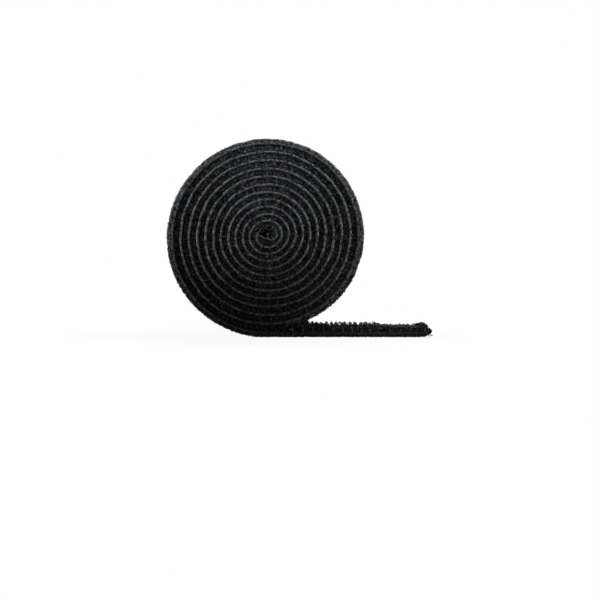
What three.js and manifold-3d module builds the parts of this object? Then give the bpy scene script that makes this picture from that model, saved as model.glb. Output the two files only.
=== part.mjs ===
// A roll of back-to-back hook and loop tape, wound on itself without a core.
// It stands on its rim with its axis along Y, and its free end lies on the floor towards +X.
// Three layers run through the whole roll: loop tape outside, bond film, hook tape inside.
// The free end is cut from the winding at the line where it bends when it is lifted.
// Millimetres, +Z up. The origin is the middle of the flat that the roll stands on.
import * as THREE from 'three';
import { mergeVertices } from 'three/addons/utils/BufferGeometryUtils.js';
import Module from 'manifold-3d';

// Tape: widths, and thicknesses measured from the middle of the laminate
const TAPE_WIDTH = 20;
const FILM_MARGIN = 0.3;
const FILM_THICK = 0.1;
const LAYER_GAP = 0.1;
const GROUND_THICK = 0.22;
const FREE_PILE_DEPTH = 1.5;
const FREE_END_PILE_DEPTH = 1;
const HOOK_HEIGHT = 1.4;

// Winding: middle of the laminate at the left of the first turn, growth of a turn, and its own growth
const FIRST_RADIUS = 2.66;
const TURN_PITCH = 1.73;
const PITCH_GROWTH = 0.025;
const OVAL_REACH = 0.2;
const OVAL_TILT = 0.37;
const LAST_TURN = 11.25;
const START_TURN = -0.1;
const STEPS_A_TURN = 24;
const PILE_PITCH_SHARE = 0.4;
const HOOK_PITCH_SHARE = 0.44;
const FLOOR_FLAT_DEPTH = 0.5;
const PEEL_REACH = 0.25;
const PEEL_TURN_SHARE = 0.12;
const PILE_RISE_TURN_SHARES = [0.02, 0.07];
const HOOKS_SINK_TURN_SHARES = [0.75, 1];

// Free end: where the hooks come clear of the roll, where the tape bends, and where it is cut
const HOOKS_FROM = 6.9;
const BEND_AT = 13.9;
const BEND_GAP = 0.4;
const LOOP_END = 42.7;
const HOOK_END = 41.9;
const SLANT_LENGTH = 1.6;
const TOE_HEIGHT = 0.75;
const TOE_LENGTH = 2.2;
const TOE_POINTS = 6;

// Hooks: pairs of columns along the tape, rows across it
const PAIR_PITCH = 2.55;
const PAIR_GAP = 0.92;
const ROW_PITCH = 1.57;
const SELVEDGE_WIDTH = 1.3;
const ROW_STAGGER_SHARE = 0.25;
const HOOK_SIDES = 3;
const HOOK_RADIUS = 0.14;
const HOOK_ROOT = 0.15;
const LEAN_LENGTH = 0.16;
const CROOK_REACH = 0.62;
const CROOK_DROP = 0.42;
const HOOK_EDGE_MARGIN = 0.45;

const OVERRUN = 1;

// Colours as photographed: black nylon, the hook side a little glossier, the film clear brown-grey
const loopNylon = new THREE.MeshStandardMaterial({ color: 0x17181a, roughness: 0.95, metalness: 0 });
const hookNylon = new THREE.MeshStandardMaterial({ color: 0x0d0e10, roughness: 0.6, metalness: 0 });
const bondFilm = new THREE.MeshStandardMaterial({ color: 0x4a4b4d, roughness: 0.5, metalness: 0 });

const wasm = await Module();
wasm.setup();

// Solids from geometries and back again
function toSolid(geometry) {
  const bare = geometry.clone();
  bare.deleteAttribute('normal');
  bare.deleteAttribute('uv');
  const merged = mergeVertices(bare);
  return new wasm.Manifold(new wasm.Mesh({
    numProp: 3,
    vertProperties: Float32Array.from(merged.attributes.position.array),
    triVerts: Uint32Array.from(merged.index.array),
  }));
}

function toGeometry(solid) {
  const { vertProperties, triVerts } = solid.getMesh();
  const geometry = new THREE.BufferGeometry();
  geometry.setAttribute('position', new THREE.BufferAttribute(vertProperties, 3));
  geometry.setIndex(new THREE.BufferAttribute(triVerts, 1));
  geometry.computeVertexNormals();
  return geometry;
}

// Eases from one value to another between two places on the winding
function easeBetween([from, to], turn, before, after) {
  return THREE.MathUtils.lerp(before, after, THREE.MathUtils.smoothstep(turn, from, to));
}

// Angle of a place on the winding, which starts at the left and runs under, right and over
function angleAt(turn) {
  return Math.PI + 2 * Math.PI * turn;
}

// The spiral's law: radius of the laminate's middle after a number of turns. The roll is slightly
// oval, leaning to the upper right, and the last of it peels away from the turn inside it
function middleRadius(turn) {
  const oval = OVAL_REACH * Math.cos(2 * (angleAt(turn) - OVAL_TILT));
  const peel = easeBetween([LAST_TURN - PEEL_TURN_SHARE, LAST_TURN], turn, 0, PEEL_REACH);
  return FIRST_RADIUS + TURN_PITCH * turn + PITCH_GROWTH * turn * turn + oval + peel;
}

function pitchAt(turn) {
  return TURN_PITCH + 2 * PITCH_GROWTH * turn;
}

// The outermost turn's pile stands free. Its own weight flattens it where the roll stands
const ROLL_RADIUS = middleRadius(LAST_TURN) + FREE_PILE_DEPTH;
const AXIS_HEIGHT = ROLL_RADIUS - FLOOR_FLAT_DEPTH;
const MIDDLE_HEIGHT = AXIS_HEIGHT - middleRadius(LAST_TURN);

function onSpiral(turn, offset) {
  const angle = angleAt(turn);
  const radius = middleRadius(turn) + offset;
  return new THREE.Vector2(radius * Math.cos(angle), AXIS_HEIGHT + radius * Math.sin(angle));
}

// Layer edges, as distances from the laminate's middle
const FILM_HALF = FILM_THICK / 2;
const TAPE_BACK = FILM_HALF + LAYER_GAP;
const GROUND_FACE = TAPE_BACK + GROUND_THICK;

// Pile is pressed into the hooks of the next turn, and rises to its free height on the last turn
function pileDepth(turn) {
  const rise = PILE_RISE_TURN_SHARES.map((share) => LAST_TURN - 1 + share);
  return easeBetween(rise, turn, PILE_PITCH_SHARE * pitchAt(turn), FREE_PILE_DEPTH);
}

// Hooks stand free into the bore on the first turn, and sink into the pile from the second on
function hookDepth(turn) {
  const free = GROUND_FACE + HOOK_HEIGHT;
  return easeBetween(HOOKS_SINK_TURN_SHARES, turn, free, HOOK_PITCH_SHARE * pitchAt(turn));
}

const filmWidth = TAPE_WIDTH - 2 * FILM_MARGIN;
const steps = Math.round((LAST_TURN - START_TURN) * STEPS_A_TURN);
const turns = Array.from({ length: steps + 1 }, (_, i) => LAST_TURN - (steps - i) / STEPS_A_TURN);

// One layer's outline: out along its outer face to the bend, and back along its inner face
function windingOutline(outerOffset, innerOffset, outerTail, innerTail) {
  const outer = turns.map((turn) => onSpiral(turn, outerOffset(turn)));
  const inner = turns.map((turn) => onSpiral(turn, innerOffset(turn)));
  return { outer, inner, outline: [...outer, ...outerTail, ...innerTail, ...[...inner].reverse()] };
}

// Extrudes an outline drawn in X and Z over the width of the tape, centred on Y
function acrossTape(outline, width) {
  const shape = new THREE.Shape(outline);
  const geometry = new THREE.ExtrudeGeometry(shape, { depth: width, bevelEnabled: false, steps: 1 });
  geometry.translate(0, 0, -width / 2);
  geometry.rotateX(Math.PI / 2);
  return geometry;
}

// Least distance between a layer's outer face and its inner face one turn further out
function leastGapToItself({ outer, inner }) {
  let least = Infinity;
  const nearest = new THREE.Vector3();
  for (let i = 0; i + STEPS_A_TURN < inner.length; i += 1) {
    const point = new THREE.Vector3(outer[i].x, outer[i].y, 0);
    const ahead = Math.min(i + STEPS_A_TURN + 1, inner.length - 1);
    for (let k = i + STEPS_A_TURN - 1; k < ahead; k += 1) {
      const start = new THREE.Vector3(inner[k].x, inner[k].y, 0);
      const end = new THREE.Vector3(inner[k + 1].x, inner[k + 1].y, 0);
      new THREE.Line3(start, end).closestPointToPoint(point, true, nearest);
      least = Math.min(least, nearest.distanceTo(point));
    }
  }
  return least;
}

function reportGap(name, layer) {
  console.log(`${name}: least gap to itself ${leastGapToItself(layer).toFixed(2)} mm`);
}

const floorBlock = (() => {
  const reach = 2 * (ROLL_RADIUS + LOOP_END);
  const block = new THREE.BoxGeometry(reach, TAPE_WIDTH + 2 * OVERRUN, ROLL_RADIUS);
  block.translate(0, 0, -ROLL_RADIUS / 2);
  return toSolid(block);
})();

const rollEnd = BEND_AT - BEND_GAP / 2;
const freeStart = BEND_AT + BEND_GAP / 2;
const v = (x, z) => new THREE.Vector2(x, z);

// Wound loop tape: the pile outside, cut flat where the roll stands
function woundLoopTape() {
  const layer = windingOutline(
    pileDepth,
    () => TAPE_BACK,
    [v(rollEnd, MIDDLE_HEIGHT - FREE_PILE_DEPTH)],
    [v(rollEnd, MIDDLE_HEIGHT - TAPE_BACK)],
  );
  reportGap('wound loop tape', layer);
  return toGeometry(toSolid(acrossTape(layer.outline, TAPE_WIDTH)).subtract(floorBlock));
}

// Wound bond film: the thin middle layer
function woundBondFilm() {
  const layer = windingOutline(
    () => FILM_HALF,
    () => -FILM_HALF,
    [v(rollEnd, MIDDLE_HEIGHT - FILM_HALF)],
    [v(rollEnd, MIDDLE_HEIGHT + FILM_HALF)],
  );
  reportGap('wound bond film', layer);
  return acrossTape(layer.outline, filmWidth);
}

let hookCount = 0;

// One hook: a monofilament that stands up with a lean, then crooks over sideways to a point
function hookGeometry(x, y, ground, lean, side) {
  const kneeHeight = ground + HOOK_HEIGHT - HOOK_RADIUS;
  const rings = [
    { x, z: ground - HOOK_ROOT, tilt: 0 },
    { x, z: ground, tilt: 0 },
    { x: x + lean, z: kneeHeight, tilt: -side },
  ];
  const positions = [];
  for (const ring of rings) {
    for (let corner = 0; corner < HOOK_SIDES; corner += 1) {
      const angle = (2 * Math.PI * corner) / HOOK_SIDES + (side * Math.PI) / 2;
      const across = HOOK_RADIUS * Math.sin(angle);
      positions.push(ring.x + HOOK_RADIUS * Math.cos(angle), y + across, ring.z + ring.tilt * across);
    }
  }
  positions.push(x + 2 * lean, y + side * CROOK_REACH, kneeHeight - CROOK_DROP);
  const kneeRing = (rings.length - 1) * HOOK_SIDES;
  const tip = rings.length * HOOK_SIDES;
  const index = [];
  for (let corner = 0; corner < HOOK_SIDES; corner += 1) {
    const next = (corner + 1) % HOOK_SIDES;
    for (let low = 0; low < kneeRing; low += HOOK_SIDES) {
      const high = low + HOOK_SIDES;
      index.push(low + corner, low + next, high + next);
      index.push(low + corner, high + next, high + corner);
    }
    index.push(kneeRing + corner, kneeRing + next, tip);
    if (corner > 1) index.push(0, corner, corner - 1);
  }
  const geometry = new THREE.BufferGeometry();
  geometry.setAttribute('position', new THREE.Float32BufferAttribute(positions, 3));
  geometry.setIndex(index);
  return geometry;
}

// Where the tape's slanting cut lies, at a place across the width
function cutAt(end, y) {
  return end - SLANT_LENGTH * (y / TAPE_WIDTH + 1 / 2);
}

// Fuses the hooks that stand between two places along the tape to their backing
function withHooks(backing, from, endAt) {
  const ground = MIDDLE_HEIGHT + GROUND_FACE;
  const firstPair = BEND_AT + PAIR_PITCH / 2;
  const furthestEnd = endAt(-TAPE_WIDTH / 2);
  const nearest = Math.floor((from - firstPair) / PAIR_PITCH);
  const furthest = Math.ceil((furthestEnd - firstPair) / PAIR_PITCH);
  const reach = HOOK_RADIUS + HOOK_EDGE_MARGIN;
  const rows = 1 + Math.floor((TAPE_WIDTH - 2 * SELVEDGE_WIDTH) / ROW_PITCH);
  const hooks = [];
  for (let pair = nearest; pair <= furthest; pair += 1) {
    for (const half of [-1, 1]) {
      const x = firstPair + pair * PAIR_PITCH + (half * PAIR_GAP) / 2;
      for (let row = 0; row < rows; row += 1) {
        const y = (row - (rows - 1) / 2) * ROW_PITCH + half * ROW_STAGGER_SHARE * ROW_PITCH;
        if (x - reach < from || x + reach > endAt(y)) continue;
        hooks.push(toSolid(hookGeometry(x, y, ground, -half * LEAN_LENGTH, half)));
      }
    }
  }
  hookCount += hooks.length;
  return toGeometry(wasm.Manifold.union([backing, ...hooks]));
}

// Wound hook tape: hooks pressed into the pile inside the roll, single hooks where it lies clear
function woundHookTape() {
  const layer = windingOutline(
    () => -TAPE_BACK,
    (turn) => -hookDepth(turn),
    [v(rollEnd, MIDDLE_HEIGHT + TAPE_BACK)],
    [
      v(rollEnd, MIDDLE_HEIGHT + GROUND_FACE),
      v(HOOKS_FROM, MIDDLE_HEIGHT + GROUND_FACE),
      v(HOOKS_FROM - HOOK_RADIUS, MIDDLE_HEIGHT + hookDepth(LAST_TURN)),
    ],
  );
  reportGap('wound hook tape', layer);
  return withHooks(toSolid(acrossTape(layer.outline, TAPE_WIDTH)), HOOKS_FROM, () => rollEnd);
}

// Slants a straight strip's end: the near edge keeps its length, the far edge is shorter
function slantEnd(geometry, end) {
  const middle = (freeStart + end) / 2;
  const place = geometry.attributes.position;
  for (let i = 0; i < place.count; i += 1) {
    if (place.getX(i) < middle) continue;
    place.setX(i, cutAt(place.getX(i), place.getY(i)));
  }
  return geometry;
}

// Free end of the loop tape: flat pile, rounded up at the toe
function freeEndLoopTape() {
  const top = MIDDLE_HEIGHT - TAPE_BACK;
  const bottom = MIDDLE_HEIGHT - FREE_END_PILE_DEPTH;
  const toe = [];
  for (let i = 0; i <= TOE_POINTS; i += 1) {
    const angle = (Math.PI / 2) * (i / TOE_POINTS);
    const x = LOOP_END - TOE_LENGTH * (1 - Math.sin(angle));
    toe.push(v(x, bottom + TOE_HEIGHT * (1 - Math.cos(angle))));
  }
  const outline = [v(freeStart, bottom), ...toe, v(LOOP_END, top), v(freeStart, top)];
  return slantEnd(acrossTape(outline, TAPE_WIDTH), LOOP_END);
}

// A straight strip of the free end between two heights
function freeEndStrip(low, high, end, width) {
  const outline = [v(freeStart, low), v(end, low), v(end, high), v(freeStart, high)];
  return slantEnd(acrossTape(outline, width), end);
}

function freeEndBondFilm() {
  const low = MIDDLE_HEIGHT - FILM_HALF;
  return freeEndStrip(low, low + FILM_THICK, HOOK_END, filmWidth);
}

function freeEndHookTape() {
  const low = MIDDLE_HEIGHT + TAPE_BACK;
  const strip = freeEndStrip(low, low + GROUND_THICK, HOOK_END, TAPE_WIDTH);
  return withHooks(toSolid(strip), freeStart, (y) => cutAt(HOOK_END, y));
}

const tapeRoll = new THREE.Group();

function addPiece(name, geometry, material) {
  const mesh = new THREE.Mesh(geometry, material);
  mesh.name = name;
  tapeRoll.add(mesh);
}

addPiece('wound_loop_tape', woundLoopTape(), loopNylon);
addPiece('wound_bond_film', woundBondFilm(), bondFilm);
addPiece('wound_hook_tape', woundHookTape(), hookNylon);
addPiece('free_end_loop_tape', freeEndLoopTape(), loopNylon);
addPiece('free_end_bond_film', freeEndBondFilm(), bondFilm);
addPiece('free_end_hook_tape', freeEndHookTape(), hookNylon);
console.log(`${hookCount} hooks`);

const wound = new THREE.Path(turns.map((turn) => onSpiral(turn, 0))).getLength();
console.log(`tape wound ${wound.toFixed(0)} mm, whole ${(wound + HOOK_END).toFixed(0)} mm`);

export default tapeRoll;
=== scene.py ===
"""The looks of a roll of back-to-back hook and loop tape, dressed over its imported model."""

import math

import bpy
import numpy as np
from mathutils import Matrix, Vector


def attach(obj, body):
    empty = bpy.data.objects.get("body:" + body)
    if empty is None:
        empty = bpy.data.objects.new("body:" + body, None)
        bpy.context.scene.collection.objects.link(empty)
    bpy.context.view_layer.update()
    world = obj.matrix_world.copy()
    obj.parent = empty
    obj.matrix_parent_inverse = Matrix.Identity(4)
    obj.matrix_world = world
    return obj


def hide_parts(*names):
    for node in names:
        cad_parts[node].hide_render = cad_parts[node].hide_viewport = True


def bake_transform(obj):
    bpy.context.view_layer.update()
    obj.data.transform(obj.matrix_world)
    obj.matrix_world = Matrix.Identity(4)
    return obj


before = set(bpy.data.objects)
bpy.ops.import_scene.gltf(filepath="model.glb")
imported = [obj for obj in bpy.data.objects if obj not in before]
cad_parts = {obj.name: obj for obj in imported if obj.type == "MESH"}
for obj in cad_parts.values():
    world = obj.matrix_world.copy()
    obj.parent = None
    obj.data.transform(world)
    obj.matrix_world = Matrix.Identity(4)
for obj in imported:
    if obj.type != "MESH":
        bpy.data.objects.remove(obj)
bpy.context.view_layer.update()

MM = 0.001
rng = np.random.default_rng(20)

# Tape, in millimetres. Heights are measured from the middle of the laminate, pile side up
TAPE_WIDTH = 20.0
EDGE = TAPE_WIDTH / 2
FILM_FACE = 0.03
FILM_MARGIN = 0.25
FILM_END_GAP = 0.1
GROUND_BACK = 0.03
GROUND_FACE = 0.25
SELVEDGE_BULGE = 0.12
SELVEDGE_ROUND = 0.2
WARP_PITCH = 0.46
WEFT_PITCH = 0.37

# Winding, as in the part's source
FIRST_RADIUS = 2.66
TURN_PITCH = 1.73
PITCH_GROWTH = 0.025
OVAL_REACH = 0.2
OVAL_TILT = 0.37
START_TURN = -0.1
LAST_TURN = 11.25
PEEL_REACH = 0.25
PEEL_TURN_SHARE = 0.12
MIDDLE_HEIGHT = 1.0

# Where the dressed tape begins, a little after the solids, and where its outer pile stands free
INNER_START_TURN = -0.015
FREE_PILE_TURN = LAST_TURN - 0.97

# Free end: lengths along the floor, from under the middle of the roll
JOIN_AT = 7.0
BEND_AT = 13.9
SLANT_FROM = 30.0
SLANT_LENGTH = 1.6
HOOK_END = 41.9
LOOP_END = 42.7

# Hooks: pairs of columns along the tape, rows across it
PAIR_PITCH = 2.55
PAIR_GAP = 0.92
ROW_PITCH = 1.57
ROWS = 12
ROW_STAGGER = 0.39
HOOK_TALL = 1.5
TAIL_HOOK_TALL = 1.9

# Rings of points: how many a turn, and the steps between them along each long body
STEPS_A_TURN = 720
FLOOR_STEP = 0.1
GROUND_STEP = 0.35
FILM_STEP = 0.8
PRESSED_STEP = 0.28
PILE_STEP = 0.36
BAND_STEP = 0.3

# Small arches, from one foot to the other, and how high each point of them stands
SWING = np.linspace(-1, 1, 5)
ARCH = np.cos(SWING * np.pi / 2)

# Lowest place of a loose strand over the floor
STRAND_LOW = 0.03

# Multipliers, a shift and a number of bits that scatter whole numbers into random ones
SEED_SCATTER = 2654435761
CELL_SCATTER = np.uint64(0x9E3779B97F4A7C15)
SCATTER_SHIFT = np.uint64(29)
KEPT_BITS = 53


def smoothstep(low, high, value):
    share = np.clip((value - low) / (high - low), 0, 1)
    return share * share * (3 - 2 * share)


def winding_angle(turn):
    """The winding starts at the left and runs under, right and over"""
    return np.pi * (1 + 2 * turn)


def middle_radius(turn):
    """Radius of the laminate's middle after a number of turns from the left"""
    oval = OVAL_REACH * np.cos(2 * (winding_angle(turn) - OVAL_TILT))
    peel = PEEL_REACH * smoothstep(LAST_TURN - PEEL_TURN_SHARE, LAST_TURN, turn)
    return FIRST_RADIUS + TURN_PITCH * turn + PITCH_GROWTH * turn * turn + oval + peel


AXIS_HEIGHT = middle_radius(LAST_TURN) + MIDDLE_HEIGHT


# Chance, the same on every run
def hashed(cells, seed):
    """A random number from 0 to 1 for each whole-numbered cell"""
    mixed = np.full(cells.shape[:-1], seed * SEED_SCATTER % 2**32, dtype=np.uint64)
    for axis in range(cells.shape[-1]):
        cell = cells[..., axis].astype(np.int64).astype(np.uint64)
        mixed = (mixed ^ cell) * CELL_SCATTER
        mixed ^= mixed >> SCATTER_SHIFT
    return (mixed >> np.uint64(64 - KEPT_BITS)).astype(float) / 2**KEPT_BITS


def lumps(a, b, size, seed):
    """Smooth random heights from -1 to 1 over places given by two lengths"""
    a, b = np.broadcast_arrays(a, b)
    place = np.stack([a, b], axis=-1) / size
    cell = np.floor(place)
    share = place - cell
    share = share * share * (3 - 2 * share)
    total = 0
    for da in (0, 1):
        for db in (0, 1):
            corner = hashed(cell + [da, db], seed)
            wa = share[..., 0] if da else 1 - share[..., 0]
            wb = share[..., 1] if db else 1 - share[..., 1]
            total = total + corner * wa * wb
    return 2 * total - 1


def uneven(a, b, *waves):
    """Smooth random heights in waves, each given by its height, its size and its seed"""
    return sum(height * lumps(a, b, size, seed) for height, size, seed in waves)


class Chance:
    """Random numbers in columns, one for each of a number of strands"""

    def __init__(self, seed, count):
        self.draw = np.random.default_rng(seed)
        self.column = (count, 1)

    def even(self, low, high):
        return self.draw.uniform(low, high, self.column)

    def about(self, middle, spread):
        return self.draw.normal(middle, spread, self.column)


# How the turns stray from the even spiral: waves, and the turns where they begin and die away
STRAY_WAVES = ((0.08, 6.0, 71), (0.035, 1.9, 72))
STRAY_BEGINS = (0.3, 1.0)
STRAY_ENDS = (LAST_TURN - 0.5, LAST_TURN - 0.15)
STRAY_STRETCH = 1.8
FLOOR_OVERRUN = 2


class TapePath:
    """The middle of the tape: round the winding from its inner end, then out along the floor"""

    def __init__(self):
        turns = np.linspace(START_TURN, LAST_TURN, int((LAST_TURN - START_TURN) * STEPS_A_TURN))
        angle = winding_angle(turns)
        radius = middle_radius(turns) + self.stray(turns)
        along = np.arange(FLOOR_STEP, LOOP_END + FLOOR_OVERRUN, FLOOR_STEP)
        height = np.full(len(along), MIDDLE_HEIGHT)
        self.x = np.concatenate([radius * np.cos(angle), along])
        self.z = np.concatenate([AXIS_HEIGHT + radius * np.sin(angle), height])
        steps = np.hypot(np.diff(self.x), np.diff(self.z))
        self.s = np.concatenate([[0], np.cumsum(steps)])
        self.turn = np.concatenate([turns, np.full(len(along), LAST_TURN)])
        self.wound = self.s[len(turns) - 1]
        tx, tz = np.gradient(self.x, self.s), np.gradient(self.z, self.s)
        size = np.hypot(tx, tz)
        self.tx, self.tz = tx / size, tz / size

    @staticmethod
    def stray(turns):
        """How far the turns stray from the even spiral, which is nothing at both ends"""
        begun = smoothstep(*STRAY_BEGINS, turns)
        ending = smoothstep(*STRAY_ENDS, turns)
        arc = 2 * np.pi * middle_radius(turns) * turns / STRAY_STRETCH
        return begun * (1 - ending) * uneven(arc, 0.0, *STRAY_WAVES)

    def at_turn(self, turn):
        count = np.searchsorted(self.s, self.wound)
        return np.interp(turn, self.turn[:count], self.s[:count])

    def turn_at(self, s):
        return np.interp(s, self.s, self.turn)

    def straight(self, x):
        """Length of tape at a distance along the floor"""
        return self.wound + x

    def points(self, s, y, height):
        """Places in space of a length along the tape, a place across it and a height off it"""
        s, y, height = np.broadcast_arrays(s, y, height)
        x, z = np.interp(s, self.s, self.x), np.interp(s, self.s, self.z)
        tx, tz = np.interp(s, self.s, self.tx), np.interp(s, self.s, self.tz)
        return np.stack([x + tz * height, y, z - tx * height], axis=-1)


path = TapePath()

# Lengths of tape: its inner end, where the wound pieces meet the free end's, and its cut
INNER_START = path.at_turn(INNER_START_TURN)
JOIN = path.straight(JOIN_AT)
HOOK_CUT = path.straight(HOOK_END)
WOUND = (INNER_START, JOIN)
FREE = (JOIN, HOOK_CUT)


def slanted(s, y):
    """Shears the free end so that its cut is slanting: the near edge keeps its length"""
    ease = smoothstep(path.straight(SLANT_FROM), path.straight(LOOP_END), s)
    return s - SLANT_LENGTH * (y / TAPE_WIDTH + 0.5) * ease


def even_lengths(ends, step):
    return np.linspace(*ends, int((ends[1] - ends[0]) / step))


# Meshes
def make_piece(name, points, quads, tris, place, look, body):
    """A piece from points in millimetres. body None leaves it unattached, with its placement baked
    into its points
    """
    mesh = bpy.data.meshes.new(name)
    corners = np.concatenate([np.ravel(quads), np.ravel(tris)]).astype(np.int32)
    sizes = np.concatenate([np.full(len(quads), 4), np.full(len(tris), 3)]).astype(np.int32)
    starts = np.concatenate([[0], np.cumsum(sizes)[:-1]]).astype(np.int32)
    mesh.vertices.add(len(points))
    mesh.loops.add(len(corners))
    mesh.polygons.add(len(sizes))
    mesh.vertices.foreach_set("co", np.ravel(points * MM).astype(np.float32))
    mesh.loops.foreach_set("vertex_index", corners)
    mesh.polygons.foreach_set("loop_start", starts)
    mesh.polygons.foreach_set("use_smooth", np.ones(len(sizes), bool))
    mesh.update(calc_edges=True)
    mesh.validate()
    data = mesh.attributes.new("tape_place", "FLOAT_VECTOR", "POINT").data
    data.foreach_set("vector", np.ravel(place).astype(np.float32))
    mesh.materials.append(look.material)
    piece = bpy.data.objects.new(name, mesh)
    bpy.context.scene.collection.objects.link(piece)
    if body:
        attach(piece, body)
    else:
        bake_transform(piece)
    return piece


def ring_faces(count, around):
    """Quads and end caps of a tube with a number of rings"""
    row = np.arange(count - 1)[:, None] * around
    here = np.arange(around)[None, :]
    then = (here + 1) % around
    quads = np.stack([row + here, row + around + here, row + around + then, row + then], axis=-1)
    fan = np.arange(1, around - 1)
    start = np.stack([fan * 0, fan, fan + 1], axis=-1)
    last = (count - 1) * around
    end = np.stack([last + fan * 0, last + fan + 1, last + fan], axis=-1)
    return quads.reshape(-1, 4), np.concatenate([start, end])


def sweep(name, s, y, height, look, body, flat_at=None):
    """A long body: at each length s a closed section of places across and heights"""
    s = slanted(s[:, None], y)
    points = path.points(s, y, height)
    if flat_at is not None:
        points[..., 2] = np.maximum(points[..., 2], flat_at)
    place = np.stack(np.broadcast_arrays(s, y, height), axis=-1)
    quads, tris = ring_faces(*height.shape)
    return make_piece(name, points.reshape(-1, 3), quads, tris, place.reshape(-1, 3), look, body)


def round_section(edge, rounding, arc_points, flat_points, flat_reach):
    """A flat band with round edges: places across, and shares of half its height"""
    arc = np.linspace(-np.pi / 2, np.pi / 2, arc_points)
    near = -edge + rounding * (1 - np.cos(arc))
    across = np.linspace(-1, 1, flat_points + 2)[1:-1] * flat_reach
    flat = np.ones(flat_points)
    y = np.concatenate([near, across, -near[::-1], across[::-1]])
    return y, np.concatenate([np.sin(arc), flat, -np.sin(arc), -flat])


def unit(vectors):
    return vectors / np.maximum(np.linalg.norm(vectors, axis=-1, keepdims=True), 1e-9)


def tubes(name, course, radius, sides, look, body, place=None):
    """Many round strands, one for each course of points in space"""
    count, steps = course.shape[:2]
    place = course if place is None else place
    ahead = unit(np.gradient(course, axis=1))
    chord = course[:, -1] - course[:, 0]
    bend = course[:, steps // 2] - course[:, 0]
    flat = unit(np.cross(chord, bend) + 1e-4 * rng.normal(size=chord.shape))[:, None, :]
    side = unit(np.cross(ahead, flat))
    up = np.cross(side, ahead)
    turn = 2 * np.pi * np.arange(sides) / sides
    radius = np.broadcast_to(radius, (count, steps))[..., None, None]
    spread = side[:, :, None] * np.cos(turn)[:, None] + up[:, :, None] * np.sin(turn)[:, None]
    points = course[:, :, None] + radius * spread
    place = np.broadcast_to(place[:, :, None], points.shape)
    quads, tris = ring_faces(steps, sides)
    first = (np.arange(count) * steps * sides)[:, None, None]
    quads, tris = (first + quads).reshape(-1, 4), (first + tris).reshape(-1, 3)
    return make_piece(name, points.reshape(-1, 3), quads, tris, place.reshape(-1, 3), look, body)


def strands(name, s, y, height, radius, look, body, sides=3, low=None):
    """Round strands given by places along, across and off the tape, one strand a row"""
    s, y, height = np.broadcast_arrays(slanted(s, y), y, height)
    course = path.points(s, y, height)
    if low is not None:
        course[..., 2] = np.maximum(course[..., 2], low)
    place = np.stack([s, y, height], axis=-1)
    return tubes(name, course, radius, sides, look, body, place)


# Materials
class Reading:
    """A number or colour that changes over a surface"""

    def __init__(self, look, socket):
        self.look, self.socket = look, socket

    def math(self, operation, *values):
        slots = dict(enumerate(values))
        return self.look.node("ShaderNodeMath", {"operation": operation}, slots)

    def __add__(self, other):
        return self.math("ADD", self, other)

    __radd__ = __add__

    def __mul__(self, other):
        return self.math("MULTIPLY", self, other)

    __rmul__ = __mul__

    def __sub__(self, other):
        return self.math("SUBTRACT", self, other)

    def __rsub__(self, other):
        return self.math("SUBTRACT", other, self)

    def __abs__(self):
        return self.math("ABSOLUTE", self)

    def sine(self):
        return self.math("SINE", self)

    def most(self, other):
        return self.math("MAXIMUM", self, other)

    def between(self, low, high):
        """0 below low, 1 above high, and smooth between"""
        settings = {"interpolation_type": "SMOOTHSTEP"}
        inputs = {"Value": self, "From Min": low, "From Max": high}
        return self.look.node("ShaderNodeMapRange", settings, inputs)


class Look:
    """A finish: one shader, and the nodes that steer it"""

    def __init__(self, name, slot=None, tree=None):
        self.slot = slot
        if tree is None:
            self.material = bpy.data.materials.new(name)
            self.material.use_nodes = True
            tree = self.material.node_tree
        self.tree = tree
        self.shader = tree.nodes.get("Principled BSDF")

    def feed(self, socket, value):
        if isinstance(value, Reading):
            self.tree.links.new(value.socket, socket)
        else:
            socket.default_value = value

    def node(self, kind, settings=None, inputs=None, output=0):
        node = self.tree.nodes.new(kind)
        for key, value in (settings or {}).items():
            setattr(node, key, value)
        for key, value in (inputs or {}).items():
            sockets = {s.identifier: s for s in node.inputs}
            self.feed(sockets[key] if key in sockets else node.inputs[key], value)
        if not node.outputs:
            return None
        sockets = {s.identifier: s for s in node.outputs}
        return Reading(self, sockets[output] if output in sockets else node.outputs[output])

    def finish(self, **values):
        """Feeds the shader's own sockets, whose names have _ for a space here"""
        for name, value in values.items():
            self.feed(self.shader.inputs[name.replace("_", " ")], value)

    def place(self):
        """Millimetres along the tape, across it and off its middle"""
        return self.node("ShaderNodeAttribute", {"attribute_name": "tape_place"}, output="Vector")

    def noise(self, size, detail=2.0):
        """Cloudy numbers around a half, with clouds of a size in millimetres"""
        scale = {0: self.place(), 1: (1 / size, 1 / size, 1 / size)}
        scaled = self.node("ShaderNodeVectorMath", {"operation": "MULTIPLY"}, scale)
        inputs = {"Vector": scaled, "Scale": 1.0, "Detail": detail}
        return self.node("ShaderNodeTexNoise", None, inputs, output="Fac")

    def split(self):
        parts = self.node("ShaderNodeSeparateXYZ", None, {0: self.place()}, output="X")
        node = parts.socket.node
        return [Reading(self, node.outputs[name]) for name in "XYZ"]

    def mixed(self, share, first, second):
        inputs = {"Factor_Float": share, "A_Color": first, "B_Color": second}
        return self.node("ShaderNodeMix", {"data_type": "RGBA"}, inputs, output="Result_Color")

    def bump(self, height, depth, strength):
        inputs = {"Height": height, "Distance": depth * MM, "Strength": strength}
        self.finish(Normal=self.node("ShaderNodeBump", None, inputs))

    def seen(self):
        """1 for the rays that show the white surroundings themselves, and 0 for their light"""
        names = ("Is Camera Ray", "Is Glossy Ray", "Is Transmission Ray")
        camera, glossy, through = (
            self.node("ShaderNodeLightPath", None, None, output=name) for name in names
        )
        return camera.most(glossy).most(through)


def grey(level, cool=0.065):
    return (level * (1 - cool), level, level * (1 + cool), 1)


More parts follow.
